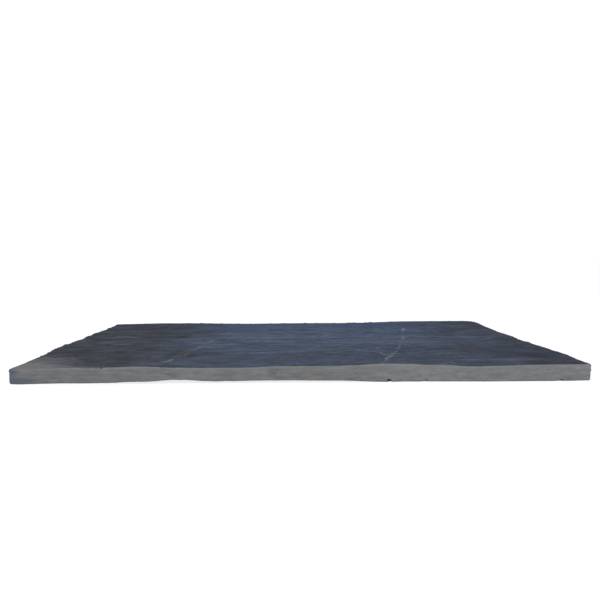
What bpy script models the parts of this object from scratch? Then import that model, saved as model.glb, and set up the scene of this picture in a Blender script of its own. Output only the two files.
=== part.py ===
"""A slab of slate: one piece of stone, split along its cleavage into a flat plate and trimmed
to a rough rectangle, about 1 m by 0.6 m and 27 mm thick.

Run it with: blender --background --python part.py

Metres, +Z up. The slab lies flat: its long side runs along X, its front edge faces -Y, and the
origin is under the middle of its bounding box, on the surface that it rests on.
"""

import bisect
import math

import bmesh
import bpy
from mathutils import Matrix, Vector, noise

# ---- Driving dimensions -----------------------------------------------------------------------

LENGTH = 0.986  # along X, before the ends wander
DEPTH = 0.600  # along Y, before the edges wander

# How far each edge stands out from the plain rectangle, as (place along the edge, distance).
LEFT_WANDER = (
    (-0.30, 0.0038), (-0.25, 0.0018), (-0.18, 0.0020), (-0.10, 0.0084), (-0.055, 0.0065),
    (-0.01, 0.0073), (0.037, 0.0065), (0.085, 0.0055), (0.17, 0.0045), (0.22, 0.0027),
    (0.30, 0.0005),
)
RIGHT_WANDER = (
    (-0.30, 0.0019), (-0.245, 0.0010), (-0.19, 0.0060), (-0.15, 0.0055), (-0.06, -0.0035),
    (0.05, -0.0025), (0.14, 0.0028), (0.185, 0.0000), (0.25, 0.0080), (0.30, 0.0030),
)
FRONT_WANDER = (
    (-0.49, -0.0010), (-0.20, 0.0000), (0.15, -0.0015), (0.28, 0.0000), (0.49, -0.0005),
)
BACK_WANDER = (
    (-0.49, -0.0015), (-0.31, 0.0010), (-0.12, -0.0025), (0.06, 0.0000),
    (0.16, -0.0030), (0.33, 0.0010), (0.49, -0.0010),
)
# How far each upright corner is rounded along X and along Y: front left, front right, back right,
# back left.
CORNER_ROUNDS = ((0.0100, 0.0045), (0.0030, 0.0030), (0.0240, 0.0220), (0.0040, 0.0040))

# Thickness at the same four corners, and how the top leaves that even taper along two edges.
CORNER_HEIGHTS = (0.0270, 0.0302, 0.0292, 0.0262)
FRONT_RISE = (
    (-0.49, 0.0006), (-0.44, 0.0000), (-0.40, 0.0008), (-0.375, 0.0011), (-0.335, 0.0006),
    (-0.287, 0.0021), (-0.255, 0.0009), (-0.230, -0.0009), (-0.10, -0.0009), (-0.055, 0.0010),
    (0.00, 0.0012), (0.030, 0.0001), (0.09, 0.0004), (0.12, 0.0020), (0.17, 0.0015),
    (0.20, -0.0008), (0.235, 0.0004), (0.26, -0.0021), (0.29, -0.0030), (0.34, -0.0012),
    (0.42, 0.0000), (0.49, -0.0005),
)
FRONT_RISE_REACH = 0.070
BACK_RISE = (
    (-0.49, -0.0012), (-0.33, -0.0003), (-0.12, -0.0024), (0.00, -0.0019), (0.08, -0.0020),
    (0.29, 0.0003), (0.49, 0.0006),
)
BACK_RISE_REACH = 0.320

# Height of the underside along the front edge: left of the middle it arches clear of the floor.
FRONT_UNDERSIDE = (
    (-0.49, 0.0004), (-0.45, 0.0006), (-0.40, 0.0020), (-0.37, 0.0012), (-0.35, 0.0018),
    (-0.27, 0.0037), (-0.209, 0.0067), (-0.165, 0.0038), (-0.02, 0.0042), (0.06, 0.0032),
    (0.14, 0.0001), (0.22, 0.0008), (0.38, 0.0000), (0.45, 0.0001), (0.49, 0.0009),
)
ARCH_REACH = 0.160  # how far in from the front edge that arch runs

# The front left corner is worn down by handling.
WORN_CORNER = Vector((-0.4925, -0.2995))
WORN_REACH = 0.085
WORN_DEPTH = 0.0020

# Level places, as (middle x, middle y, half length, half depth): one on top, and those the slab
# stands on.
TOP_LEVEL = (0.020, 0.030, 0.125, 0.065)
TOP_LEVEL_HEIGHT = 0.0272
LANDS = (
    (0.000, 0.030, 0.110, 0.060),
    (-0.430, -0.225, 0.030, 0.022),
    (0.385, -0.255, 0.040, 0.028),
    (-0.410, 0.235, 0.035, 0.030),
    (0.400, 0.230, 0.035, 0.030),
)
LEVEL_EASE = 0.050  # the stretch over which a level place runs out into the split face

# Relief of the two split faces: broad swells, and cleavage steps that run along the length.
SWELL_SIZE = 0.170
SWELL_HEIGHT = 0.0005
STEP_LENGTH, STEP_DEPTH = 0.210, 0.075
STEP_HEIGHT = 0.00045
STEP_COUNT = 3
STEP_SLOPE = 0.5  # share of a sheet's width over which it runs out
HOLLOW_SIZE = 0.120
HOLLOW_LOW, HOLLOW_HIGH = 0.00011, 0.00110  # how far hollows of the underside clear the floor

# Relief of the edges: the arris is knocked off, and the layers of the stone stand out in ledges.
ARRIS = 0.0012
ARRIS_CHANGE = 0.0005
LAYERS = (0.0, 0.24, 0.50, 0.80, 1.0)  # where each layer ends, from the top arris to the bottom one
LAYER_WANDER = 0.07
LAYER_JOINT = 0.015  # share of the edge's height over which one layer gives way to the next
FRONT_LEDGE = 0.0007  # the front edge was trimmed cleaner than the other three
ROUGH_LEDGE = 0.0032
TRIMMED_REACH = 0.110  # how far back along the two ends that cleaner trimming fades
LEDGE_LENGTH = 0.055
END_UNDERCUT = 0.0020  # the right end leans in towards its foot

# Flakes broken from each edge, as (middle along the edge, half length, height, depth, from below).
FRONT_FLAKES = (
    (-0.343, 0.0065, 0.0024, 0.0020, False),
    (0.146, 0.0052, 0.0044, 0.0060, True),
    (0.208, 0.0045, 0.0022, 0.0035, True),
    (0.442, 0.0052, 0.0022, 0.0035, True),
)
BACK_FLAKES = (
    (-0.300, 0.0520, 0.0130, 0.0055, False),
    (-0.020, 0.0400, 0.0110, 0.0060, True),
    (0.225, 0.0600, 0.0120, 0.0060, False),
    (0.400, 0.0380, 0.0100, 0.0050, True),
)
LEFT_FLAKES = (
    (-0.110, 0.0300, 0.0090, 0.0045, True),
    (0.045, 0.0420, 0.0120, 0.0030, False),
    (0.210, 0.0380, 0.0110, 0.0055, True),
)
RIGHT_FLAKES = (
    (-0.230, 0.0300, 0.0090, 0.0040, True),
    (-0.075, 0.0450, 0.0120, 0.0045, True),
    (0.075, 0.0480, 0.0110, 0.0040, False),
)
FLAKE_REACH = 3.0  # in depths: how far in the stone behind a flake is drawn back with it

# The layer of the noise that each kind of relief is read from, so that no two are alike.
SWELL_NOISE = 3.7
STEP_NOISE = 11.3
HOLLOW_NOISE = 23.1
UPPER_ARRIS_NOISE = 31.0
LOWER_ARRIS_NOISE = 47.0
JOINT_NOISE, JOINT_NOISE_GAP = 60.0, 5.0
LEDGE_NOISE_GAP = 7.0

# The mesh: evenly spread lines, and two more along each edge that keep it crisp.
COLUMNS, ROWS = 42, 24
EDGE_LINES = (0.0040, 0.0120)
LINE_CLEARANCE = 1 / 3  # share of the spacing that stays clear beside a flake's own lines
SHARP_ANGLE = math.radians(35.0)

SLATE_COLOUR = (0.060, 0.075, 0.108, 1.0)
SLATE_ROUGHNESS = 0.68


# ---- Shape of the stone -------------------------------------------------------------------------


def ease(share):
    """0 to 1 with level ends."""
    share = min(1.0, max(0.0, share))
    return share * share * (3.0 - 2.0 * share)


def mix(a, b, share):
    return a + (b - a) * share


def along(line, place):
    """The value of a line of (place, value) points at any place, eased from point to point."""
    places = [point[0] for point in line]
    last = min(len(line) - 1, max(1, bisect.bisect(places, place)))
    (start, low), (end, high) = line[last - 1], line[last]
    return mix(low, high, ease((place - start) / (end - start)))


def grain(x, y, length, depth, layer=0.0):
    """Smooth noise from about -1 to 1, stretched to these sizes."""
    return 2.0 * noise.noise(Vector((x / length, y / depth, layer)))


def share_outside(x, y, place):
    """0 on a level place, rising to 1 where the split face takes over."""
    middle_x, middle_y, half_length, half_depth = place
    outside_x = max(0.0, abs(x - middle_x) - half_length)
    outside_y = max(0.0, abs(y - middle_y) - half_depth)
    return ease(math.hypot(outside_x, outside_y) / LEVEL_EASE)


def cleavage_steps(x, y, layer):
    """Thin sheets that split off the face in places and left low steps."""
    sheets = mix(0.0, STEP_COUNT, (1.0 + grain(x, y, STEP_LENGTH, STEP_DEPTH, layer)) / 2)
    whole = math.floor(sheets)
    return STEP_HEIGHT * (whole + ease(0.5 + (sheets - whole - 0.5) / STEP_SLOPE))


def top_height(x, y):
    across, inward = x / LENGTH + 0.5, y / DEPTH + 0.5
    front_left, front_right, back_right, back_left = CORNER_HEIGHTS
    height = mix(mix(front_left, front_right, across), mix(back_left, back_right, across), inward)
    height += along(FRONT_RISE, x) * (1.0 - ease((y + DEPTH / 2) / FRONT_RISE_REACH))
    height += along(BACK_RISE, x) * (1.0 - ease((DEPTH / 2 - y) / BACK_RISE_REACH))
    height += SWELL_HEIGHT * grain(x, y, SWELL_SIZE, SWELL_SIZE, SWELL_NOISE)
    height += cleavage_steps(x, y, STEP_NOISE) - STEP_COUNT * STEP_HEIGHT / 2
    worn = 1.0 - ease((Vector((x, y)) - WORN_CORNER).length / WORN_REACH)
    height -= WORN_DEPTH * worn
    return mix(TOP_LEVEL_HEIGHT, height, share_outside(x, y, TOP_LEVEL))


def underside_height(x, y):
    inward = ease((y + DEPTH / 2) / ARCH_REACH)
    deep = (1.0 + grain(x, y, HOLLOW_SIZE, HOLLOW_SIZE, HOLLOW_NOISE)) / 2
    hollow = max(0.0, mix(HOLLOW_LOW, HOLLOW_HIGH, deep))
    height = mix(along(FRONT_UNDERSIDE, x), hollow, inward)
    for land in LANDS:
        height *= share_outside(x, y, land)
    return height


def rounded(x, y):
    """A point of the plain rectangle, moved so that the rectangle's corners turn round."""
    right, back = x > 0.0, y > 0.0
    along_x, along_y = CORNER_ROUNDS[(2 if right else 3) if back else (1 if right else 0)]
    from_end = (abs(x) - LENGTH / 2) / along_x + 1.0
    from_edge = (abs(y) - DEPTH / 2) / along_y + 1.0
    if from_end <= 0.0 or from_edge <= 0.0:
        return x, y
    pull = 1.0 - max(from_end, from_edge) / math.hypot(from_end, from_edge)
    x -= math.copysign(along_x * from_end * pull, x)
    y -= math.copysign(along_y * from_edge * pull, y)
    return x, y


def plan_point(x, y):
    """Where a point of the plain rectangle lies on the slab, seen from above."""
    x, y = rounded(x, y)
    across, inward = x / LENGTH + 0.5, y / DEPTH + 0.5
    return Vector((
        x + mix(-along(LEFT_WANDER, y), along(RIGHT_WANDER, y), across),
        y + mix(-along(FRONT_WANDER, x), along(BACK_WANDER, x), inward),
    ))


def edge_grain(point, layer):
    """Smooth noise from about -1 to 1 along the slab's outline, different for each layer."""
    return grain(point.x + point.y, point.x - point.y, LEDGE_LENGTH, LEDGE_LENGTH, layer)


def edge_profile(point, outward):
    """The edge's section from top to bottom, as (distance in from the outline, height)."""
    upper = ARRIS + ARRIS_CHANGE * edge_grain(point, UPPER_ARRIS_NOISE)
    lower = ARRIS + ARRIS_CHANGE * edge_grain(point, LOWER_ARRIS_NOISE)
    top, bottom = top_height(*point), underside_height(*point)
    trimmed = max(ease(-outward.y), 1.0 - ease((point.y + DEPTH / 2) / TRIMMED_REACH))
    depth = mix(ROUGH_LEDGE, FRONT_LEDGE, trimmed)
    undercut = END_UNDERCUT * ease(outward.x)
    joints = [
        share + LAYER_WANDER * edge_grain(point, JOINT_NOISE + JOINT_NOISE_GAP * share)
        for share in LAYERS[1:-1]
    ]
    profile = []
    for layer, (start, end) in enumerate(zip([0.0, *joints], [*joints, 1.0])):
        set_back = depth / 2 * edge_grain(point, LEDGE_NOISE_GAP * layer)
        for share in (start + LAYER_JOINT, end - LAYER_JOINT):
            profile.append((set_back + undercut * share, mix(top - upper, bottom + lower, share)))
    rim_above = (profile[0][0] + upper, top)
    rim_below = (profile[-1][0] + lower, bottom)
    return [rim_above, *profile, rim_below]


def flaked(place):
    """A point near the edge, drawn back where a flake has broken away."""
    along_x, along_y = Vector((1.0, 0.0, 0.0)), Vector((0.0, 1.0, 0.0))
    sides = (
        (FRONT_FLAKES, -along_y, along_x, DEPTH / 2),
        (BACK_FLAKES, along_y, along_x, DEPTH / 2),
        (LEFT_FLAKES, -along_x, along_y, LENGTH / 2),
        (RIGHT_FLAKES, along_x, along_y, LENGTH / 2),
    )
    for flakes, outward, onward, half in sides:
        inside = half - outward.dot(place)
        for middle, half_length, height, depth, from_below in flakes:
            face_height = underside_height if from_below else top_height
            scar = (onward * middle + outward * half).xy
            across = (onward.dot(place) - middle) / half_length
            up = (place.z - face_height(*scar)) / height
            bite = 1.0 - across * across - up * up
            hold = 1.0 - max(0.0, inside) / (FLAKE_REACH * depth)
            if bite > 0.0 and hold > 0.0:
                place = place - outward * (depth * math.sqrt(bite) * hold)
    return place


# ---- Mesh ---------------------------------------------------------------------------------------


def grid_lines(size, count, extra=()):
    """Places of the grid's lines across a side: evenly spread, closer at the edges and at a flake."""
    inner = size / 2 - 2 * EDGE_LINES[-1]
    lines = [mix(-inner, inner, step / count) for step in range(count + 1)]
    lines += [side * (size / 2 - inset) for side in (-1, 1) for inset in (0.0, *EDGE_LINES)]
    clear = LINE_CLEARANCE * size / count
    lines = [line for line in lines if all(abs(line - place) > clear for place in extra)]
    return sorted([*lines, *extra])


def flake_lines():
    """Lines through the front edge's small flakes, which the even lines would miss."""
    return [
        middle + share * half_length
        for middle, half_length, *_ in FRONT_FLAKES
        for share in (-1.0, 0.0, 1.0)
    ]


def rim_of(columns, rows):
    """The grid's (column, row) places round its rim, anticlockwise from the front left corner."""
    front = [(column, 0) for column in range(columns)]
    right = [(columns, row) for row in range(rows)]
    back = [(column, rows) for column in range(columns, 0, -1)]
    left = [(0, row) for row in range(rows, 0, -1)]
    return front + right + back + left


def outward_of(outline, index):
    """The level direction out of the slab at a point of its outline."""
    before, after = outline[index - 1], outline[(index + 1) % len(outline)]
    tangent = (after - before).normalized()
    return Vector((tangent.y, -tangent.x, 0.0))


def edge_rings(mesh, outline):
    """Rings of vertices from the top face's rim down the edge to the underside's rim."""
    sections = []
    for index, point in enumerate(outline):
        outward = outward_of(outline, index)
        places = [
            flaked(Vector((*point, height)) - outward * inset)
            for inset, height in edge_profile(point, outward)
        ]
        sections.append([mesh.verts.new(place) for place in places])
    return list(zip(*sections))


def face_grid(mesh, columns, rows, height_at, rim, ring):
    """Vertices of a split face. Those on its rim belong to the edge's ring already."""
    grid = dict(zip(rim, ring))
    for column, x in enumerate(columns):
        for row, y in enumerate(rows):
            if (column, row) not in grid:
                point = plan_point(x, y)
                place = Vector((*point, height_at(*point)))
                grid[column, row] = mesh.verts.new(flaked(place))
    return grid


def slab_mesh():
    columns = grid_lines(LENGTH, COLUMNS, flake_lines())
    rows = grid_lines(DEPTH, ROWS)
    rim = rim_of(len(columns) - 1, len(rows) - 1)
    outline = [plan_point(columns[column], rows[row]) for column, row in rim]
    mesh = bmesh.new()
    rings = edge_rings(mesh, outline)
    top = face_grid(mesh, columns, rows, top_height, rim, rings[0])
    underside = face_grid(mesh, columns, rows, underside_height, rim, rings[-1])
    for column in range(len(columns) - 1):
        for row in range(len(rows) - 1):
            around = [(column, row), (column + 1, row), (column + 1, row + 1), (column, row + 1)]
            mesh.faces.new([top[place] for place in around])
            mesh.faces.new([underside[place] for place in reversed(around)])
    for upper, lower in zip(rings, rings[1:]):
        for index in range(len(rim)):
            before = index - 1
            mesh.faces.new((upper[before], lower[before], lower[index], upper[index]))
    return mesh


def centred(mesh):
    """The mesh, moved so that its bounding box's bottom middle is the origin."""
    low = Vector([min(vertex.co[axis] for vertex in mesh.verts) for axis in range(3)])
    high = Vector([max(vertex.co[axis] for vertex in mesh.verts) for axis in range(3)])
    middle = (low + high) / 2
    bmesh.ops.transform(
        mesh, matrix=Matrix.Translation((-middle.x, -middle.y, -low.z)), verts=mesh.verts
    )
    return mesh


# ---- The object ---------------------------------------------------------------------------------


def slate():
    material = bpy.data.materials.new("slate")
    material.use_nodes = True
    surface = material.node_tree.nodes["Principled BSDF"]
    surface.inputs["Base Color"].default_value = SLATE_COLOUR
    surface.inputs["Roughness"].default_value = SLATE_ROUGHNESS
    surface.inputs["Metallic"].default_value = 0.0
    return material


def main():
    for leftover in list(bpy.data.objects):
        bpy.data.objects.remove(leftover)
    data = bpy.data.meshes.new("slab")
    shape = centred(slab_mesh())
    shape.to_mesh(data)
    shape.free()
    data.materials.append(slate())
    data.shade_smooth()
    data.set_sharp_from_angle(angle=SHARP_ANGLE)
    bpy.context.scene.collection.objects.link(bpy.data.objects.new("slab", data))


main()
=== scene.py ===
"""A slab of slate on a pale studio floor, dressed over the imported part.

The slab is made first, then the floor it lies on, the light and the camera.
"""

import math

import bmesh
import bpy
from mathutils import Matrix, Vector


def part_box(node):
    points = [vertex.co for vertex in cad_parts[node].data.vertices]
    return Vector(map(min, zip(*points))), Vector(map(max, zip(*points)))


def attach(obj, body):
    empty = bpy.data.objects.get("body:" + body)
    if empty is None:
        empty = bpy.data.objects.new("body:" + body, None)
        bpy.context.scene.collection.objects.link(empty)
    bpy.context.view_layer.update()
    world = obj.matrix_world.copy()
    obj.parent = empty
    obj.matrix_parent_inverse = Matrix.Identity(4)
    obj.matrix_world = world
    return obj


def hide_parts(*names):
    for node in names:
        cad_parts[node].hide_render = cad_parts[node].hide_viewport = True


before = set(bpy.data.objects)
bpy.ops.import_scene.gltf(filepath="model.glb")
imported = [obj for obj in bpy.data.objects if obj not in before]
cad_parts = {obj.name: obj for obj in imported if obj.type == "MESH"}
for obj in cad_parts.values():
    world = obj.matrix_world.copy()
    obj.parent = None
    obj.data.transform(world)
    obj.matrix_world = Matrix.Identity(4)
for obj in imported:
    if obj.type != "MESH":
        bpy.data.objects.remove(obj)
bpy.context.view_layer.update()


# ---- The slab -----------------------------------------------------------------------------------
# One stone: dark blue-grey slate, split flat along its cleavage and trimmed with a hammer, so its
# edges show the layers end on, in a paler grey. Thin veins of calcite cross the top, and iron in
# the stone has rusted in places. It lies loose on its underside.

slab_low, slab_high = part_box("slab")
front = slab_low.y
middle = (slab_low.z + slab_high.z) / 2


def fill(tree, node, inputs):
    """A node's inputs joined to sockets or set to values. Colours are red, green and blue."""
    for name, value in inputs.items():
        socket = node.inputs[name]
        if isinstance(value, bpy.types.NodeSocket):
            tree.links.new(value, socket)
        elif socket.type == "RGBA":
            socket.default_value = (*value, 1.0)
        else:
            socket.default_value = value


def add(tree, kind, inputs=None, **settings):
    """A new node with these settings and inputs."""
    node = tree.nodes.new(kind)
    for name, value in settings.items():
        setattr(node, name, value)
    fill(tree, node, inputs or {})
    return node


def maths(tree, operation, *values):
    """The result of a Math node on sockets or numbers."""
    node = add(tree, "ShaderNodeMath", dict(enumerate(values)), operation=operation)
    return node.outputs["Value"]


def vector_maths(tree, operation, *values):
    """The vector that a Vector Math node makes of sockets or vectors."""
    node = add(tree, "ShaderNodeVectorMath", dict(enumerate(values)), operation=operation)
    return node.outputs["Vector"]


def scaled(tree, vector, factor):
    """A vector or colour multiplied by one number."""
    node = add(tree, "ShaderNodeVectorMath", {"Vector": vector, "Scale": factor}, operation="SCALE")
    return node.outputs["Vector"]


def length_of(tree, vector):
    return add(tree, "ShaderNodeVectorMath", {"Vector": vector}, operation="LENGTH").outputs["Value"]


def dot(tree, first, second):
    node = add(tree, "ShaderNodeVectorMath", {0: first, 1: second}, operation="DOT_PRODUCT")
    return node.outputs["Value"]


def product(tree, first, *others):
    for other in others:
        first = maths(tree, "MULTIPLY", first, other)
    return first


def rise(tree, value, start, end):
    """0 where a value is at start, 1 where it is at end, and eased between them."""
    ends = {"Value": value, "From Min": start, "From Max": end}
    eased = {"interpolation_type": "SMOOTHSTEP", "clamp": False}
    return add(tree, "ShaderNodeMapRange", ends, **eased).outputs["Result"]


def blend(tree, amount, low, high):
    """One colour where an amount is 0, another where it is 1, and a mixture between them."""
    low_input, high_input, colour_output = 6, 7, 2
    ends = {"Factor": amount, low_input: low, high_input: high}
    return add(tree, "ShaderNodeMix", ends, data_type="RGBA").outputs[colour_output]


def noise(tree, place, size, seed, detail=3.0, roughness=0.55, distortion=0.3):
    """Smooth noise from 0 to 1 whose features have this size along X, Y and Z."""
    inputs = {
        "Vector": vector_maths(tree, "DIVIDE", place, size),
        "W": seed,
        "Scale": 1.0,
        "Detail": detail,
        "Roughness": roughness,
        "Distortion": distortion,
    }
    return add(tree, "ShaderNodeTexNoise", inputs, noise_dimensions="4D").outputs["Fac"]


def evened(tree, value):
    """A value from 0 to 1, moved down to lie evenly about 0."""
    return maths(tree, "SUBTRACT", value, 0.5)


def sheets(tree, place, size, seed, softness):
    """Sheets that split off a face: their height, counted in sheets, and how near a step is."""
    count = 7.0
    detail = 4.0
    step_middle = 0.5
    sharp_seed = maths(tree, "ADD", seed, 10.0)
    sharp_detail = 1.0
    sharp_range = (0.44, 0.56)
    depth = product(tree, noise(tree, place, size, seed, detail), count)
    part = maths(tree, "FRACT", depth)
    eased = rise(tree, part, step_middle - softness, step_middle + softness)
    stepped = maths(tree, "ADD", maths(tree, "FLOOR", depth), eased)
    sharp = rise(tree, noise(tree, place, size, sharp_seed, sharp_detail), *sharp_range)
    height = add(tree, "ShaderNodeMix", {"Factor": sharp, "A": depth, "B": stepped}).outputs["Result"]
    off_step = maths(tree, "ABSOLUTE", maths(tree, "SUBTRACT", part, step_middle))
    step = product(tree, rise(tree, off_step, softness, 0.0), sharp)
    return maths(tree, "SUBTRACT", height, count / 2), step


def bites(tree, place, size):
    """Hollows of this size that meet in sharp ridges: below 0 in a hollow and above it on a ridge."""
    mean_depth = 0.30
    cells = {"Vector": vector_maths(tree, "DIVIDE", place, size), "Scale": 1.0, "Randomness": 0.9}
    off = add(tree, "ShaderNodeTexVoronoi", cells, voronoi_dimensions="3D").outputs["Distance"]
    return maths(tree, "SUBTRACT", product(tree, off, off), mean_depth)


# The mesh starts as a copy of the solid, cut finer where the solid's facets are long.

longest_edge = 0.036
doubles_gap = 0.00001
halvings = 2


def many_cornered(mesh):
    return [face for face in mesh.faces if len(face.verts) > 3]


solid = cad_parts["slab"].data
stone = bmesh.new()
corners = [stone.verts.new(vertex.co) for vertex in solid.vertices]
for face in solid.polygons:
    stone.faces.new([corners[index] for index in face.vertices])
bmesh.ops.remove_doubles(stone, verts=stone.verts, dist=doubles_gap)
long_edges = [edge for edge in stone.edges if edge.calc_length() > longest_edge]
while long_edges:
    bmesh.ops.subdivide_edges(stone, edges=long_edges, cuts=1)
    bmesh.ops.triangulate(stone, faces=many_cornered(stone))
    long_edges = [edge for edge in stone.edges if edge.calc_length() > longest_edge]
for _ in range(halvings):
    bmesh.ops.subdivide_edges(stone, edges=stone.edges, cuts=1, use_grid_fill=True)
    bmesh.ops.triangulate(stone, faces=many_cornered(stone))
stone_mesh = bpy.data.meshes.new("slab")
stone.to_mesh(stone_mesh)
stone.free()
slab = bpy.data.objects.new("slate_slab", stone_mesh)
bpy.context.scene.collection.objects.link(slab)

# Sheets that split off the faces, and the layers that the edges cut through.
sheet_size = (0.150, 0.045, 0.060)
sheet_seed = 4.0
sheet_softness = 0.15
ripple_seed = 1.0
layer_size = (0.040, 0.040, 0.0045)
layer_seed = 2.0
chip_seed = 3.0
chip_range = (0.50, 0.70)

# Where each part of the stone begins and is complete. The edge and the arrises go by how level the
# surface lies, from 0 on an upright edge to 1 on a face.
edge_range = (0.985, 0.900)
arris_low_range = (0.20, 0.50)
arris_high_range = (0.99, 0.92)
# The top goes by how far the surface faces up, and the front edge by how far it faces the back.
top_range = (-0.10, 0.10)
front_range = (-0.50, -0.90)


def riven_stone():
    """The tree that gives a plain block of slate its split faces and its layered, chipped edges."""
    tree = bpy.data.node_groups.new("riven stone", "GeometryNodeTree")
    tree.interface.new_socket("Stone", in_out="OUTPUT", socket_type="NodeSocketGeometry")
    tree.interface.new_socket("Block", in_out="INPUT", socket_type="NodeSocketGeometry")
    for name, kind in (
        ("Facet Smoothing", "Int"),
        ("Sheet Size", "Vector"),
        ("Sheet Seed", "Float"),
        ("Sheet Height", "Float"),
        ("Ripple Size", "Vector"),
        ("Ripple Height", "Float"),
        ("Layer Size", "Vector"),
        ("Front Layer Depth", "Float"),
        ("Rough Layer Depth", "Float"),
        ("Bite Size", "Vector"),
        ("Front Bite Depth", "Float"),
        ("Rough Bite Depth", "Float"),
        ("Front Edge", "Float"),
        ("Front Reach", "Float"),
        ("Chip Size", "Vector"),
        ("Front Chip Depth", "Float"),
        ("Rough Chip Depth", "Float"),
        ("Wear Spread", "Int"),
        ("Finish", "Material"),
    ):
        tree.interface.new_socket(name, in_out="INPUT", socket_type="NodeSocket" + kind)
    given = tree.nodes.new("NodeGroupInput").outputs

    place = tree.nodes.new("GeometryNodeInputPosition").outputs["Position"]
    at = add(tree, "ShaderNodeSeparateXYZ", {"Vector": place}).outputs
    normal = tree.nodes.new("GeometryNodeInputNormal").outputs["Normal"]
    faces = add(tree, "ShaderNodeSeparateXYZ", {"Vector": normal}).outputs
    level = maths(tree, "ABSOLUTE", faces["Z"])

    # What each point belongs to is kept from before the relief is added.
    reach = maths(tree, "ADD", given["Front Edge"], given["Front Reach"])
    facing_front = rise(tree, faces["Y"], *front_range)
    near_front = rise(tree, at["Y"], reach, given["Front Edge"])
    arris = product(tree, rise(tree, level, *arris_low_range), rise(tree, level, *arris_high_range))
    marks = (
        ("edge", rise(tree, level, *edge_range)),
        ("arris", arris),
        ("top", rise(tree, faces["Z"], *top_range)),
        ("trimmed", maths(tree, "MAXIMUM", facing_front, near_front)),
    )
    kept = add(tree, "GeometryNodeCaptureAttribute", {"Geometry": given["Block"]})
    for name, value in marks:
        kept.capture_items.new("FLOAT", name)
        tree.links.new(value, kept.inputs[name])
    edge, arris, trimmed = kept.outputs["edge"], kept.outputs["arris"], kept.outputs["trimmed"]
    split = maths(tree, "SUBTRACT", 1.0, edge)
    keep_normal = add(tree, "GeometryNodeCaptureAttribute", {"Geometry": kept.outputs["Geometry"]})
    keep_normal.capture_items.new("VECTOR", "outward")
    tree.links.new(normal, keep_normal.inputs["outward"])
    outward = keep_normal.outputs["outward"]

    # The split faces lose the block's facets.
    blur = {"Value": place, "Iterations": given["Facet Smoothing"], "Weight": split}
    blurred = add(tree, "GeometryNodeBlurAttribute", blur, data_type="FLOAT_VECTOR").outputs["Value"]
    smooth_height = add(tree, "ShaderNodeSeparateXYZ", {"Vector": blurred}).outputs["Z"]
    smooth_place = add(tree, "ShaderNodeCombineXYZ", {"X": at["X"], "Y": at["Y"], "Z": smooth_height})
    smooth = {
        "Geometry": keep_normal.outputs["Geometry"],
        "Position": smooth_place.outputs["Vector"],
    }
    smoothed = add(tree, "GeometryNodeSetPosition", smooth).outputs["Geometry"]

    # Sheets have split away from the faces and left low steps, and the faces ripple.
    sheet_count, _ = sheets(tree, place, given["Sheet Size"], given["Sheet Seed"], sheet_softness)
    ripple = evened(tree, noise(tree, place, given["Ripple Size"], ripple_seed))
    face_relief = maths(
        tree,
        "ADD",
        product(tree, sheet_count, given["Sheet Height"]),
        product(tree, ripple, given["Ripple Height"]),
    )

    # The layers stand out of the edges by different amounts, the trimming hammer has bitten flakes
    # out of them, and chips are gone from the arrises.
    def by_edge(name):
        ends = {"Factor": trimmed, "A": given["Rough " + name], "B": given["Front " + name]}
        return add(tree, "ShaderNodeMix", ends).outputs["Result"]

    layer = evened(tree, noise(tree, place, given["Layer Size"], layer_seed))
    layers = product(tree, layer, by_edge("Layer Depth"), edge)
    bite = product(tree, bites(tree, place, given["Bite Size"]), by_edge("Bite Depth"), edge)
    layers = maths(tree, "ADD", layers, bite)
    chip = rise(tree, noise(tree, place, given["Chip Size"], chip_seed), *chip_range)
    chips = product(tree, chip, by_edge("Chip Depth"), arris)
    edge_relief = maths(tree, "SUBTRACT", layers, chips)

    relief = maths(tree, "ADD", product(tree, face_relief, split), edge_relief)
    carve = {"Geometry": smoothed, "Offset": scaled(tree, outward, relief)}
    carved = add(tree, "GeometryNodeSetPosition", carve).outputs["Geometry"]

    # Nothing goes below the surface that the slab lies on.
    clear = maths(tree, "MAXIMUM", at["Z"], 0.0)
    clear_place = add(tree, "ShaderNodeCombineXYZ", {"X": at["X"], "Y": at["Y"], "Z": clear})
    rest = {"Geometry": carved, "Position": clear_place.outputs["Vector"]}
    shape = add(tree, "GeometryNodeSetPosition", rest).outputs["Geometry"]

    # A pale band along the arrises next to the top, spread inward: wear, and a painted highlight.
    wear_and_highlight = {
        "Value": product(tree, arris, kept.outputs["top"]),
        "Iterations": given["Wear Spread"],
        "Weight": 1.0,
    }
    worn = add(tree, "GeometryNodeBlurAttribute", wear_and_highlight).outputs["Value"]
    for name, value in (("edge", edge), ("worn", worn)):
        store = {"Geometry": shape, "Name": name, "Value": value}
        stored = add(tree, "GeometryNodeStoreNamedAttribute", store, domain="POINT")
        shape = stored.outputs["Geometry"]
    real = add(tree, "GeometryNodeRealizeInstances", {"Geometry": shape}).outputs["Geometry"]
    paint = {"Geometry": real, "Material": given["Finish"]}
    finished = add(tree, "GeometryNodeSetMaterial", paint).outputs["Geometry"]
    tree.links.new(finished, tree.nodes.new("NodeGroupOutput").inputs["Stone"])
    return tree


def shader_group(name, given, made):
    """An empty shader group with these input sockets and this output socket."""
    tree = bpy.data.node_groups.new(name, "ShaderNodeTree")
    for socket, kind in given:
        tree.interface.new_socket(socket, in_out="INPUT", socket_type="NodeSocket" + kind)
    tree.interface.new_socket(made, in_out="OUTPUT", socket_type="NodeSocketFloat")
    return tree


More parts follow.
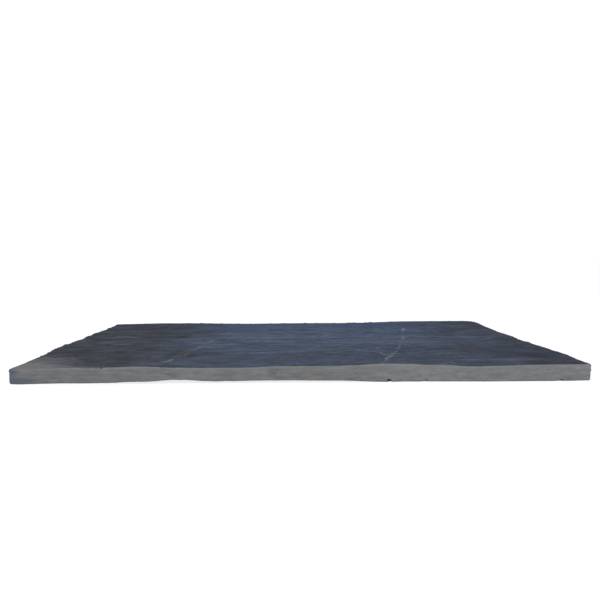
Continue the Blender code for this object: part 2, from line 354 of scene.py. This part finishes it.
def streak_group():
    """How much of a thin, broken line, bent once between its ends, lies at a place."""
    kinds = [(name, "Vector") for name in ("Place", "Start", "Bend", "End")]
    kinds += [(name, "Float") for name in ("Width", "Gaps", "Unevenness", "Fading")]
    fade_span = 0.20
    faint_share = 0.15
    tree = shader_group("streak", kinds, "Amount")
    given = tree.nodes.new("NodeGroupInput").outputs
    distances = []
    for first, last in (("Start", "Bend"), ("Bend", "End")):
        run = vector_maths(tree, "SUBTRACT", given[last], given[first])
        reach = vector_maths(tree, "SUBTRACT", given["Place"], given[first])
        share = maths(tree, "DIVIDE", dot(tree, reach, run), dot(tree, run, run))
        share = maths(tree, "MINIMUM", maths(tree, "MAXIMUM", share, 0.0), 1.0)
        off = vector_maths(tree, "SUBTRACT", reach, scaled(tree, run, share))
        distances.append(length_of(tree, off))
    off = maths(tree, "MINIMUM", *distances)
    width = product(tree, given["Width"], given["Unevenness"])
    shown = rise(tree, given["Fading"], given["Gaps"], maths(tree, "ADD", given["Gaps"], fade_span))
    shown = maths(tree, "MULTIPLY_ADD", shown, 1.0 - faint_share, faint_share)
    amount = product(tree, rise(tree, off, width, 0.0), shown)
    tree.links.new(amount, tree.nodes.new("NodeGroupOutput").inputs["Amount"])
    return tree


def patch_group():
    """How much of a ragged, soft-edged patch round a place there is: all of it at its middle."""
    kinds = [("Place", "Vector"), ("Middle", "Vector"), ("Reach", "Vector"), ("Raggedness", "Float")]
    rim, core = 1.0, 0.2
    tree = shader_group("patch", kinds, "Amount")
    given = tree.nodes.new("NodeGroupInput").outputs
    spread = vector_maths(tree, "SUBTRACT", given["Place"], given["Middle"])
    spread = vector_maths(tree, "DIVIDE", spread, given["Reach"])
    off = maths(tree, "ADD", length_of(tree, spread), given["Raggedness"])
    amount = rise(tree, off, rim, core)
    tree.links.new(amount, tree.nodes.new("NodeGroupOutput").inputs["Amount"])
    return tree


streak = streak_group()
patch = patch_group()

# Colours of the split faces.
face_dark = (0.044, 0.058, 0.090)
face_blue = (0.066, 0.087, 0.133)
# The next two are painted reflection, the hues the top drifts to towards its back and its front.
painted_blue_reflection = (0.048, 0.067, 0.122)
painted_grey_reflection = (0.045, 0.052, 0.069)
face_green = (0.078, 0.100, 0.130)
face_brown = (0.058, 0.057, 0.062)
face_pale = (0.110, 0.128, 0.155)
# The next two are painted reflection, the darker hues at the top's left and right ends.
painted_charcoal_reflection = (0.038, 0.040, 0.046)
painted_slate_reflection = (0.043, 0.047, 0.058)
# Painted shade, at the steps between sheets and in some lines and a patch on the top.
painted_shade_blue = (0.026, 0.033, 0.052)
smudge_pale = (0.115, 0.132, 0.150)
calcite = (0.215, 0.232, 0.240)
# Colours of the broken edges.
edge_dark = (0.095, 0.097, 0.098)
edge_grey = (0.140, 0.142, 0.144)
edge_pale = (0.190, 0.194, 0.198)
edge_blue = (0.073, 0.087, 0.112)
edge_warm = (0.140, 0.125, 0.105)
rust = (0.185, 0.148, 0.105)
rust_dark = (0.075, 0.050, 0.038)
shadowed = (0.012, 0.012, 0.014)

# Patterns in the stone: size along X, Y and Z, seed, detail, roughness and distortion.
patterns = {
    "streaks": ((0.150, 0.034, 0.040), 1.0, 5.0, 0.60, 0.5),
    "dashes": ((0.060, 0.019, 0.020), 2.0, 4.0, 0.60, 0.4),
    "grain": ((0.0110, 0.0070, 0.0050), 3.0, 4.0, 0.65, 0.0),
    "blotches": ((0.030, 0.030, 0.008), 7.0, 4.0, 0.60, 0.6),
    "green": ((0.200, 0.060, 0.060), 4.0, 3.0, 0.55, 0.3),
    "brown": ((0.140, 0.050, 0.060), 5.0, 4.0, 0.55, 0.3),
    "bloom": ((0.070, 0.016, 0.020), 11.0, 4.0, 0.60, 0.6),
    "wander": ((0.110, 0.090, 0.060), 12.0, 5.0, 0.60, 0.3),
    "bands": ((0.070, 0.070, 0.0018), 6.0, 4.0, 0.60, 0.2),
    "drift": ((0.160, 0.160, 0.050), 8.0, 2.0, 0.55, 0.3),
    "stains": ((0.060, 0.060, 0.0030), 13.0, 4.0, 0.60, 0.4),
    "lines": ((0.060, 0.0045, 0.0030), 9.0, 5.0, 0.60, 0.3),
}
# Tints: where each starts and is complete as its pattern rises, how strong it is, and its colour.
streak_tint = ((0.30, 0.66), 1.00, face_blue)
green_tint = ((0.46, 0.66), 0.50, face_green)
brown_tint = ((0.52, 0.70), 0.45, face_brown)
bloom_tint = ((0.54, 0.74), 0.50, face_pale)
stain_tint = ((0.60, 0.74), 0.45, edge_warm)
# The same, as places along Y and along X, and how far their borders wander; these are painted
# reflection, bluer at the back, greyer at the front and darker at the ends.
back_reflection_tint = ((0.04, 0.26), 0.60, painted_blue_reflection)
front_reflection_tint = ((0.00, -0.22), 0.65, painted_grey_reflection)
left_reflection_span = (-0.14, -0.34)
right_reflection_span = (0.22, 0.46)
wander_along_y = 0.25
wander_along_x = 0.60
end_blotch_range = (0.66, 0.34)
end_blotch_swing = 0.30
# How much darker or paler each pattern makes the faces and the edges.
face_swings = (("dashes", 1.3), ("blotches", 0.8), ("grain", 1.1))
side_swings = (("bands", 0.55), ("blotches", 0.80), ("drift", 0.35), ("grain", 0.45))
missing_swing = 1.30
side_ends_range = (-0.40, 0.35)
side_ends_swing = 0.26
# Painted shade at the steps between sheets, hairlines, and arrises made pale by wear and a painted
# highlight.
step_softness = 0.07
step_shade_strength = 0.55
hairline_middle = 0.5
hairline_width = 0.006
hairline_range = (0.46, 0.58)
hairline_strength = 0.40
wear_and_highlight_strength = 0.50
# Where the marks of the top and of the front edge stop.
top_border = 0.004
front_border = (0.045, 0.006)
# How lines wander and change along their length, and how patches fray.
crumple_size = 0.045
crumple_detail = 5.0
crumple_reach = 0.018
uneven_noise = ((0.022, 0.022, 0.022), 7.0, 4.0)
uneven_swing = 2.0
uneven_least = 0.1
fading_noise = ((0.034, 0.034, 0.034), 5.0, 5.0, 0.65)
ragged_noise = ((0.030, 0.011, 0.011), 6.0, 5.0, 0.65, 0.6)
ragged_swing = 1.2
# Heights of the relief that is too fine for the mesh, and how rough the surface is.
face_sheet_height = 0.0005
face_line_height = 0.0007
face_grain_height = 0.00018
side_band_height = 0.0012
side_blotch_height = 0.0010
side_grain_height = 0.0006
roughness_least = 0.62
roughness_swing = 0.25

# Lines on the top, in plan: their ends, or ends and a bend, width, gaps, strength and colour.
top_lines = (
    (((-0.258, -0.300), (-0.226, -0.150), (-0.190, 0.004)), 0.0050, 0.46, 0.30, calcite),
    (((-0.248, -0.256), (-0.241, -0.243), (-0.238, -0.226)), 0.0065, 0.34, 0.48, calcite),
    (((-0.226, -0.188), (-0.220, -0.172), (-0.218, -0.160)), 0.0045, 0.36, 0.40, calcite),
    (((-0.217, -0.138), (-0.210, -0.120), (-0.208, -0.099)), 0.0045, 0.36, 0.46, calcite),
    (((-0.199, -0.041), (-0.192, -0.016), (-0.190, 0.004)), 0.0045, 0.38, 0.38, calcite),
    (((0.133, -0.300), (0.151, -0.240), (0.162, -0.210)), 0.0040, 0.40, 0.40, calcite),
    (((0.150, -0.244), (0.162, -0.210)), 0.0060, 0.34, 0.65, calcite),
    (((0.162, -0.210), (0.182, -0.175), (0.210, -0.083)), 0.0040, 0.41, 0.42, calcite),
    (((0.210, -0.083), (0.232, -0.008), (0.266, 0.138)), 0.0042, 0.45, 0.38, calcite),
    (((0.157, -0.219), (0.151, -0.182), (0.156, -0.117)), 0.0038, 0.42, 0.36, calcite),
    (((0.151, -0.182), (0.136, -0.162), (0.104, -0.148)), 0.0038, 0.41, 0.34, calcite),
    (((0.402, -0.026), (0.424, -0.012), (0.451, 0.014)), 0.0048, 0.37, 0.50, calcite),
    (((0.162, 0.066), (0.184, 0.061)), 0.0055, 0.34, 0.70, calcite),
    (((0.260, 0.118), (0.271, 0.158)), 0.0055, 0.34, 0.50, calcite),
    (((0.228, -0.024), (0.237, 0.010)), 0.0050, 0.34, 0.45, calcite),
    (((0.060, 0.052), (0.080, 0.080)), 0.0045, 0.36, 0.50, calcite),
    (((-0.100, -0.169), (-0.042, -0.161), (0.019, -0.186)), 0.0080, 0.44, 0.38, smudge_pale),
    (((0.405, -0.076), (0.469, -0.079)), 0.0070, 0.42, 0.40, smudge_pale),
    (((-0.235, 0.078), (-0.032, 0.071)), 0.0300, 0.36, 0.40, face_green),
    # The next three lines are painted shade along steps in the top.
    (((-0.207, 0.134), (0.006, 0.135), (0.243, 0.124)), 0.0120, 0.41, 0.60, painted_shade_blue),
    (((-0.214, 0.191), (-0.070, 0.160)), 0.0120, 0.44, 0.50, painted_shade_blue),
    (((-0.199, -0.047), (0.000, -0.055)), 0.0100, 0.42, 0.50, painted_shade_blue),
)
# Patches on the top: middle in plan, reach, strength, colour.
top_patches = (
    ((-0.409, 0.054), (0.034, 0.016), 0.40, smudge_pale),
    ((-0.422, -0.036), (0.030, 0.014), 0.35, smudge_pale),
    ((-0.375, -0.058), (0.034, 0.014), 0.35, smudge_pale),
    ((0.389, -0.255), (0.075, 0.014), 0.40, smudge_pale),
    ((0.305, -0.254), (0.034, 0.012), 0.40, smudge_pale),
    ((0.240, -0.290), (0.014, 0.008), 0.55, smudge_pale),
    ((0.260, -0.281), (0.008, 0.008), 0.50, smudge_pale),
    ((-0.495, -0.300), (0.130, 0.140), 0.90, edge_grey),
    ((-0.430, -0.305), (0.120, 0.034), 0.60, edge_grey),
    ((-0.145, -0.198), (0.060, 0.026), 0.45, face_brown),
    ((-0.033, -0.213), (0.070, 0.034), 0.45, face_brown),
    # The next four patches are painted shade.
    ((0.420, -0.180), (0.110, 0.120), 0.40, painted_shade_blue),
    ((0.437, -0.222), (0.036, 0.040), 0.35, shadowed),
    ((0.011, 0.147), (0.026, 0.011), 0.45, shadowed),
    ((-0.270, 0.041), (0.022, 0.010), 0.35, shadowed),
)
# Lines on the front edge, given by places along it and heights, and otherwise as on the top.
edge_lines = (
    (((-0.254, 0.0214), (-0.215, 0.0135)), 0.0030, 0.30, 0.70, edge_dark),
    (((-0.060, 0.0190), (0.000, 0.0090)), 0.0060, 0.42, 0.60, edge_dark),
    (((0.301, 0.0110), (0.335, 0.0195)), 0.0030, 0.30, 0.60, edge_pale),
    (((0.069, 0.0270), (0.163, 0.0268)), 0.0022, 0.40, 0.55, edge_warm),
    (((0.170, 0.0219), (0.203, 0.0256)), 0.0022, 0.34, 0.70, rust),
    (((0.178, 0.0167), (0.190, 0.0160)), 0.0020, 0.30, 0.50, rust),
    (((0.095, 0.0018), (0.126, 0.0018)), 0.0020, 0.30, 0.80, rust_dark),
    (((0.191, 0.0018), (0.213, 0.0018)), 0.0020, 0.30, 0.80, rust_dark),
)
# Patches on the front edge: middle, reach, strength, colour.
edge_patches = (
    ((-0.007, 0.0266), (0.0075, 0.0024), 0.90, rust),
    ((0.003, 0.0237), (0.0070, 0.0020), 0.80, rust),
    ((0.256, 0.0225), (0.0080, 0.0022), 0.55, rust),
    ((-0.500, 0.0150), (0.0280, 0.0450), 0.90, edge_blue),
    ((-0.480, 0.0040), (0.0350, 0.0120), 0.70, edge_blue),
    ((-0.366, 0.0285), (0.0180, 0.0040), 0.60, edge_blue),
    ((0.1445, 0.0030), (0.0060, 0.0050), 0.95, shadowed),
    ((0.209, 0.0010), (0.0055, 0.0030), 0.90, shadowed),
    ((0.444, 0.0010), (0.0055, 0.0030), 0.90, shadowed),
    ((-0.343, 0.0268), (0.0045, 0.0020), 0.70, shadowed),
    ((-0.350, 0.0270), (0.0030, 0.0015), 0.60, shadowed),
)


def slate():
    """The stone's finish: its split faces, and its edges where the layers show end on."""
    material = bpy.data.materials.new("slate")
    material.use_nodes = True
    tree = material.node_tree
    surface = tree.nodes["Principled BSDF"]
    place = tree.nodes.new("ShaderNodeTexCoord").outputs["Object"]
    at = add(tree, "ShaderNodeSeparateXYZ", {"Vector": place}).outputs
    edge = add(tree, "ShaderNodeAttribute", attribute_name="edge").outputs["Fac"]
    worn = add(tree, "ShaderNodeAttribute", attribute_name="worn").outputs["Fac"]
    shown = {name: noise(tree, place, *settings) for name, settings in patterns.items()}

    def tinted(colour, value, tint):
        """A colour that turns to a tint's as a value crosses the tint's range."""
        span, strength, paint = tint
        return blend(tree, product(tree, rise(tree, value, *span), strength), colour, paint)

    def varied(colour, value, swing):
        """A colour made up to half this share darker or paler, as a value goes from 0 to 1."""
        factor = maths(tree, "MULTIPLY_ADD", value, swing, 1.0 - swing / 2)
        node = add(tree, "ShaderNodeHueSaturation", {"Value": factor, "Color": colour})
        return node.outputs["Color"]

    def marked(colour, plan, lines, patches, axes):
        """A colour with lines and patches drawn over it, on a plane of two of the axes."""

        def spread(pair, rest=0.0):
            spot = [rest] * 3
            spot[axes[0]], spot[axes[1]] = pair
            return spot

        crumple = {
            "Vector": scaled(tree, plan, 1.0 / crumple_size),
            "Scale": 1.0,
            "Detail": crumple_detail,
        }
        crumpled = add(tree, "ShaderNodeTexNoise", crumple).outputs["Color"]
        swings = add(tree, "ShaderNodeSeparateColor", {"Color": crumpled}).outputs
        swings = {"X": swings["Red"], "Y": swings["Green"], "Z": swings["Blue"]}
        swing = add(tree, "ShaderNodeCombineXYZ", swings).outputs["Vector"]
        swing = vector_maths(tree, "SUBTRACT", swing, (0.5, 0.5, 0.5))
        wandered = vector_maths(tree, "ADD", plan, scaled(tree, swing, crumple_reach))
        uneven = noise(tree, plan, *uneven_noise)
        uneven = maths(tree, "MULTIPLY_ADD", uneven, uneven_swing, uneven_least)
        fading = noise(tree, plan, *fading_noise)
        ragged = noise(tree, plan, *ragged_noise)
        ragged = maths(tree, "MULTIPLY_ADD", ragged, ragged_swing, -ragged_swing / 2)
        for points, width, gaps, strength, paint in lines:
            start, end = Vector(spread(points[0])), Vector(spread(points[-1]))
            inputs = {
                "Place": wandered,
                "Start": start,
                "Bend": spread(points[1]) if len(points) > 2 else (start + end) / 2,
                "End": end,
                "Width": width,
                "Gaps": gaps,
                "Unevenness": uneven,
                "Fading": fading,
            }
            line = add(tree, "ShaderNodeGroup", inputs, node_tree=streak)
            colour = blend(tree, product(tree, line.outputs["Amount"], strength), colour, paint)
        for middle, reach, strength, paint in patches:
            inputs = {
                "Place": plan,
                "Middle": spread(middle),
                "Reach": spread(reach, 1.0),
                "Raggedness": ragged,
            }
            spot = add(tree, "ShaderNodeGroup", inputs, node_tree=patch)
            colour = blend(tree, product(tree, spot.outputs["Amount"], strength), colour, paint)
        return colour

    # Split faces: streaks along the slab, and hues that drift towards its back, front and ends, which
    # are painted reflection.
    wander = evened(tree, shown["wander"])
    drifted_y = maths(tree, "MULTIPLY_ADD", wander, wander_along_y, at["Y"])
    drifted_x = maths(tree, "MULTIPLY_ADD", wander, wander_along_x, at["X"])
    face = tinted(face_dark, shown["streaks"], streak_tint)
    face = tinted(face, shown["green"], green_tint)
    face = tinted(face, shown["brown"], brown_tint)
    # Painted reflection: bluer towards the back, greyer towards the front.
    face = tinted(face, drifted_y, back_reflection_tint)
    face = tinted(face, drifted_y, front_reflection_tint)
    face = tinted(face, shown["bloom"], bloom_tint)
    # Painted reflection: darker towards the left and right ends, in blotches.
    blotchy = rise(tree, shown["dashes"], *end_blotch_range)
    blotchy = maths(tree, "MULTIPLY_ADD", blotchy, end_blotch_swing, 1.0 - end_blotch_swing)
    left_reflection_mask = product(tree, rise(tree, drifted_x, *left_reflection_span), blotchy)
    right_reflection_mask = product(tree, rise(tree, drifted_x, *right_reflection_span), blotchy)
    face = blend(tree, left_reflection_mask, face, painted_charcoal_reflection)
    face = blend(tree, right_reflection_mask, face, painted_slate_reflection)
    for name, swing in face_swings:
        face = varied(face, shown[name], swing)

    # Painted shade at the steps between the sheets, hairlines, and the veins and marks of the top.
    sheet_count, step = sheets(tree, place, sheet_size, sheet_seed, step_softness)
    face = blend(tree, product(tree, step, step_shade_strength), face, painted_shade_blue)
    off_hairline = maths(tree, "SUBTRACT", shown["green"], hairline_middle)
    hairline = rise(tree, maths(tree, "ABSOLUTE", off_hairline), hairline_width, 0.0)
    hairline_shown = rise(tree, shown["bloom"], *hairline_range)
    hairline = product(tree, hairline, hairline_shown, hairline_strength)
    face = blend(tree, hairline, face, smudge_pale)
    plan = vector_maths(tree, "MULTIPLY", place, (1.0, 1.0, 0.0))
    marked_face = marked(face, plan, top_lines, top_patches, (0, 1))
    upper = rise(tree, at["Z"], middle - top_border, middle + top_border)
    face = blend(tree, upper, face, marked_face)

    # Broken edges: the layers end on, as fine bands, with blotches and drifts of tone; on the rougher
    # edges each layer is darker where it sinks in and paler where it stands out.
    side = edge_grey
    for name, swing in side_swings:
        side = varied(side, shown[name], swing)
    side = varied(side, rise(tree, at["X"], *side_ends_range), side_ends_swing)
    # Arrises next to the top made pale: wear, and a painted highlight.
    side = blend(tree, product(tree, worn, wear_and_highlight_strength), side, edge_pale)
    front_far, front_near = front_border
    front_face = rise(tree, at["Y"], front + front_far, front + front_near)
    upright = vector_maths(tree, "MULTIPLY", place, (1.0, 0.0, 1.0))
    marked_side = marked(side, upright, edge_lines, edge_patches, (0, 2))
    rough_side = varied(side, noise(tree, place, layer_size, layer_seed), missing_swing)
    rough_side = tinted(rough_side, shown["stains"], stain_tint)
    side = blend(tree, front_face, rough_side, marked_side)

    # The relief that is too fine for the mesh.
    face_height = product(tree, shown["lines"], face_line_height)
    face_height = maths(tree, "MULTIPLY_ADD", sheet_count, face_sheet_height, face_height)
    face_height = maths(tree, "MULTIPLY_ADD", shown["grain"], face_grain_height, face_height)
    side_height = product(tree, shown["blotches"], side_blotch_height)
    side_height = maths(tree, "MULTIPLY_ADD", shown["bands"], side_band_height, side_height)
    side_height = maths(tree, "MULTIPLY_ADD", shown["grain"], side_grain_height, side_height)
    heights = {"Factor": edge, "A": face_height, "B": side_height}
    relief = add(tree, "ShaderNodeMix", heights).outputs["Result"]
    bump = add(tree, "ShaderNodeBump", {"Height": relief, "Strength": 0.7, "Distance": 1.0})
    roughness = maths(tree, "MULTIPLY_ADD", shown["dashes"], roughness_swing, roughness_least)
    finish = {
        "Base Color": blend(tree, edge, face, side),
        "Roughness": roughness,
        "Specular IOR Level": 0.01,
        "Normal": bump.outputs["Normal"],
    }
    fill(tree, surface, finish)
    return material


sharp_angle = math.radians(40.0)

riven = slab.modifiers.new("riven", "NODES")
riven.node_group = riven_stone()
for name, value in (
    ("Facet Smoothing", 6),
    ("Sheet Size", sheet_size),
    ("Sheet Seed", sheet_seed),
    ("Sheet Height", 0.00030),
    ("Ripple Size", (0.040, 0.018, 0.020)),
    ("Ripple Height", 0.0007),
    ("Layer Size", layer_size),
    ("Front Layer Depth", 0.0014),
    ("Rough Layer Depth", 0.0060),
    ("Bite Size", (0.026, 0.026, 0.020)),
    ("Front Bite Depth", 0.0006),
    ("Rough Bite Depth", 0.0036),
    ("Front Edge", front),
    ("Front Reach", 0.110),
    ("Chip Size", (0.014, 0.014, 0.014)),
    ("Front Chip Depth", 0.0010),
    ("Rough Chip Depth", 0.0030),
    ("Wear Spread", 5),
    ("Finish", slate()),
):
    riven[riven.node_group.interface.items_tree[name].identifier] = value
view_layer = bpy.context.evaluated_depsgraph_get()
slab.data = bpy.data.meshes.new_from_object(slab.evaluated_get(view_layer))
slab.modifiers.remove(riven)
slab.data.shade_smooth()
slab.data.set_sharp_from_angle(angle=sharp_angle)
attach(slab, "root")
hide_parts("slab")


# ---- The floor ----------------------------------------------------------------------------------
# A plain white light table, lit from inside, so that the slab throws hardly any shadow on it.

floor_half = 30.0
floor_mesh = bpy.data.meshes.new("floor")
floor_corners = [(-1, -1, 0), (1, -1, 0), (1, 1, 0), (-1, 1, 0)]
floor_mesh.from_pydata([Vector(corner) * floor_half for corner in floor_corners], [], [(0, 1, 2, 3)])
floor = bpy.data.objects.new("floor", floor_mesh)
bpy.context.scene.collection.objects.link(floor)
glass = bpy.data.materials.new("white glass")
glass.use_nodes = True
glass_finish = {
    "Base Color": (0.25, 0.25, 0.25),
    "Roughness": 0.95,
    "Specular IOR Level": 0.0,
    "Emission Color": (1.0, 1.0, 1.0),
    "Emission Strength": 0.80,
}
fill(glass.node_tree, glass.node_tree.nodes["Principled BSDF"], glass_finish)
floor_mesh.materials.append(glass)


# ---- The light ----------------------------------------------------------------------------------
# Soft white light from all round, as in a light tent, cooler and dimmer from overhead, and one
# broad lamp high on the camera's side.

tent = bpy.data.worlds.new("light tent")
tent.use_nodes = True
tent_tree = tent.node_tree
up = tent_tree.nodes.new("ShaderNodeTexCoord").outputs["Generated"]
height = add(tent_tree, "ShaderNodeSeparateXYZ", {"Vector": up}).outputs["Z"]
sides = (1.03, 1.03, 1.03)
roof = (0.62, 0.66, 0.76)
roof_range = (0.45, 0.80)
light = blend(tent_tree, rise(tent_tree, height, *roof_range), sides, roof)
tent_tree.links.new(light, tent_tree.nodes["Background"].inputs["Color"])
bpy.context.scene.world = tent
bpy.context.scene.view_settings.view_transform = "Standard"

lamp_light = bpy.data.lights.new("lamp", "AREA")
lamp_light.shape = "RECTANGLE"
lamp_light.size = 1.6
lamp_light.size_y = 1.0
lamp_light.energy = 25.0
lamp = bpy.data.objects.new("lamp", lamp_light)
lamp.location = (-0.9, -1.5, 1.6)
lamp.rotation_euler = (-lamp.location).to_track_quat("-Z", "Y").to_euler()
bpy.context.scene.collection.objects.link(lamp)


# ---- The camera ---------------------------------------------------------------------------------
# It stands low in front of the slab's long edge, a little left of the middle, and looks down on it.

camera_dip = math.radians(4.845)
camera_turn = math.radians(-1.635)

camera_lens = bpy.data.cameras.new("camera")
camera_lens.lens = 31.83
camera_lens.clip_start = 0.01
camera = bpy.data.objects.new("camera", camera_lens)
camera.location = (-0.0334, -1.1858, 0.2165)
camera.rotation_euler = (math.pi / 2 - camera_dip, 0.0, camera_turn)
bpy.context.scene.collection.objects.link(camera)
bpy.context.scene.camera = camera
